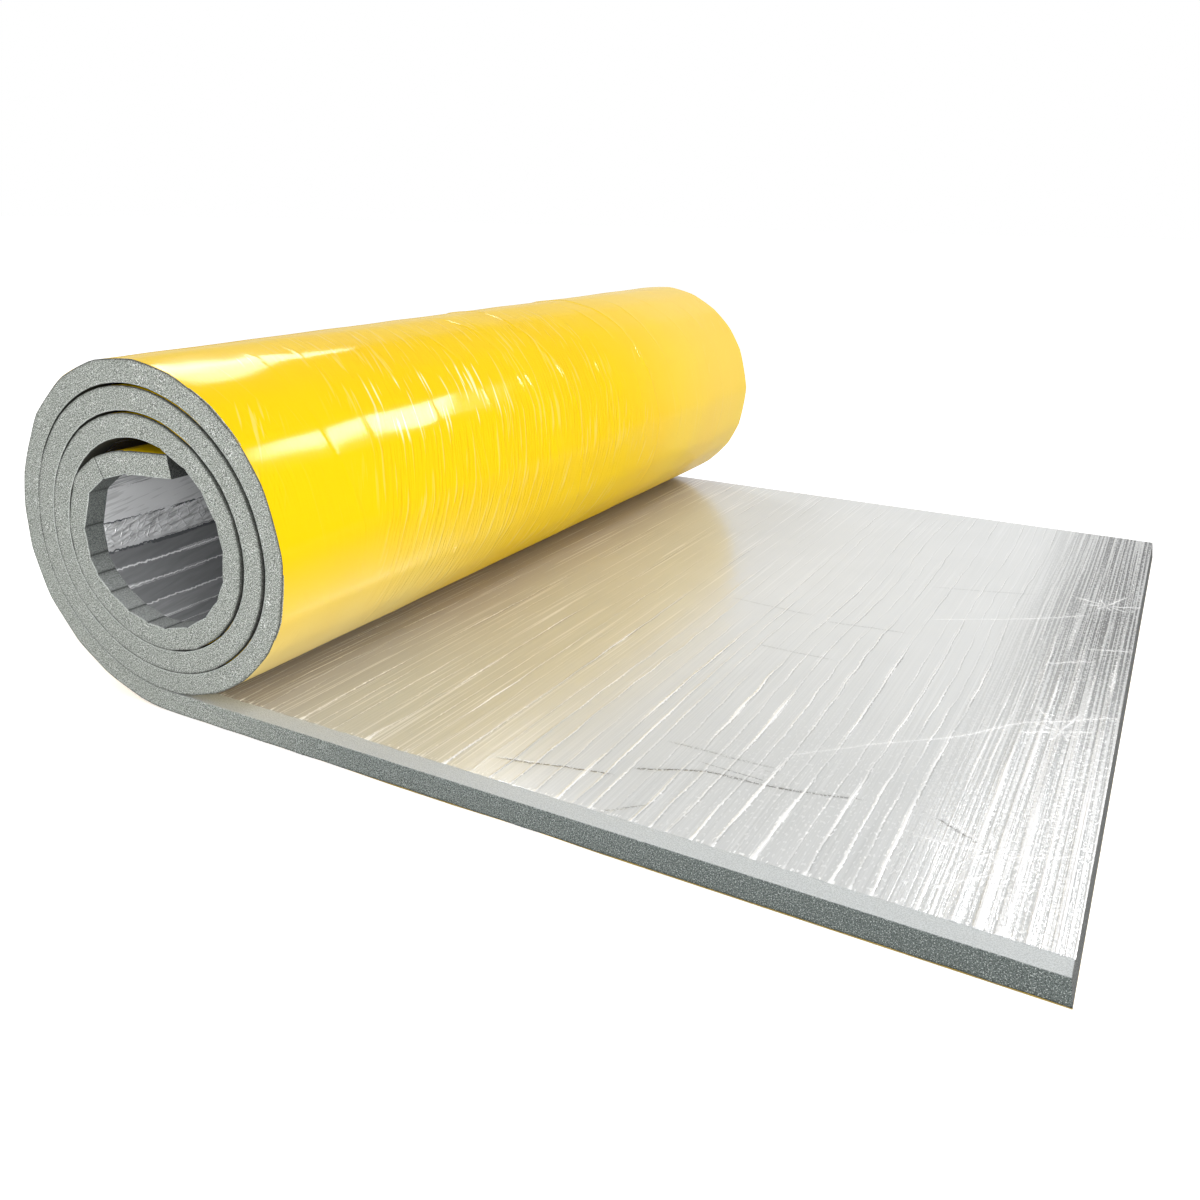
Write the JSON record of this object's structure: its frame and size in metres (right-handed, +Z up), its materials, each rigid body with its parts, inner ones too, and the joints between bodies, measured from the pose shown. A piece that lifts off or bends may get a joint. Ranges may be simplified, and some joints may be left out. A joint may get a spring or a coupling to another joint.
{
  "type": "acoustic foam sheet",
  "caption": "Foil-faced, self-adhesive acoustic foam sheet on a release liner, flat at its free end and wound up into a slack roll at the other",
  "frame": {"origin": "on the floor, below the middle of the whole sheet's box", "axes": "+X from the roll along the flat end to its cut edge, +Y across the sheet's width along the roll, away from the edge with the bare foam margin, +Z up"},
  "size_m": [0.9114, 1, 0.3089],
  "materials": {
    "foil": "bright aluminium foil laminate, creased and faintly ribbed by its scrim",
    "foam": "matt grey closed-cell foam with fine light flecks, knife-cut edges",
    "liner": "glossy yellow release film over the adhesive, finely wrinkled"
  },
  "bodies": {
    "root": {"foil_facing": "foil", "foam_sheet": "foam", "release_liner": "liner"}
  },
  "joints": []
}
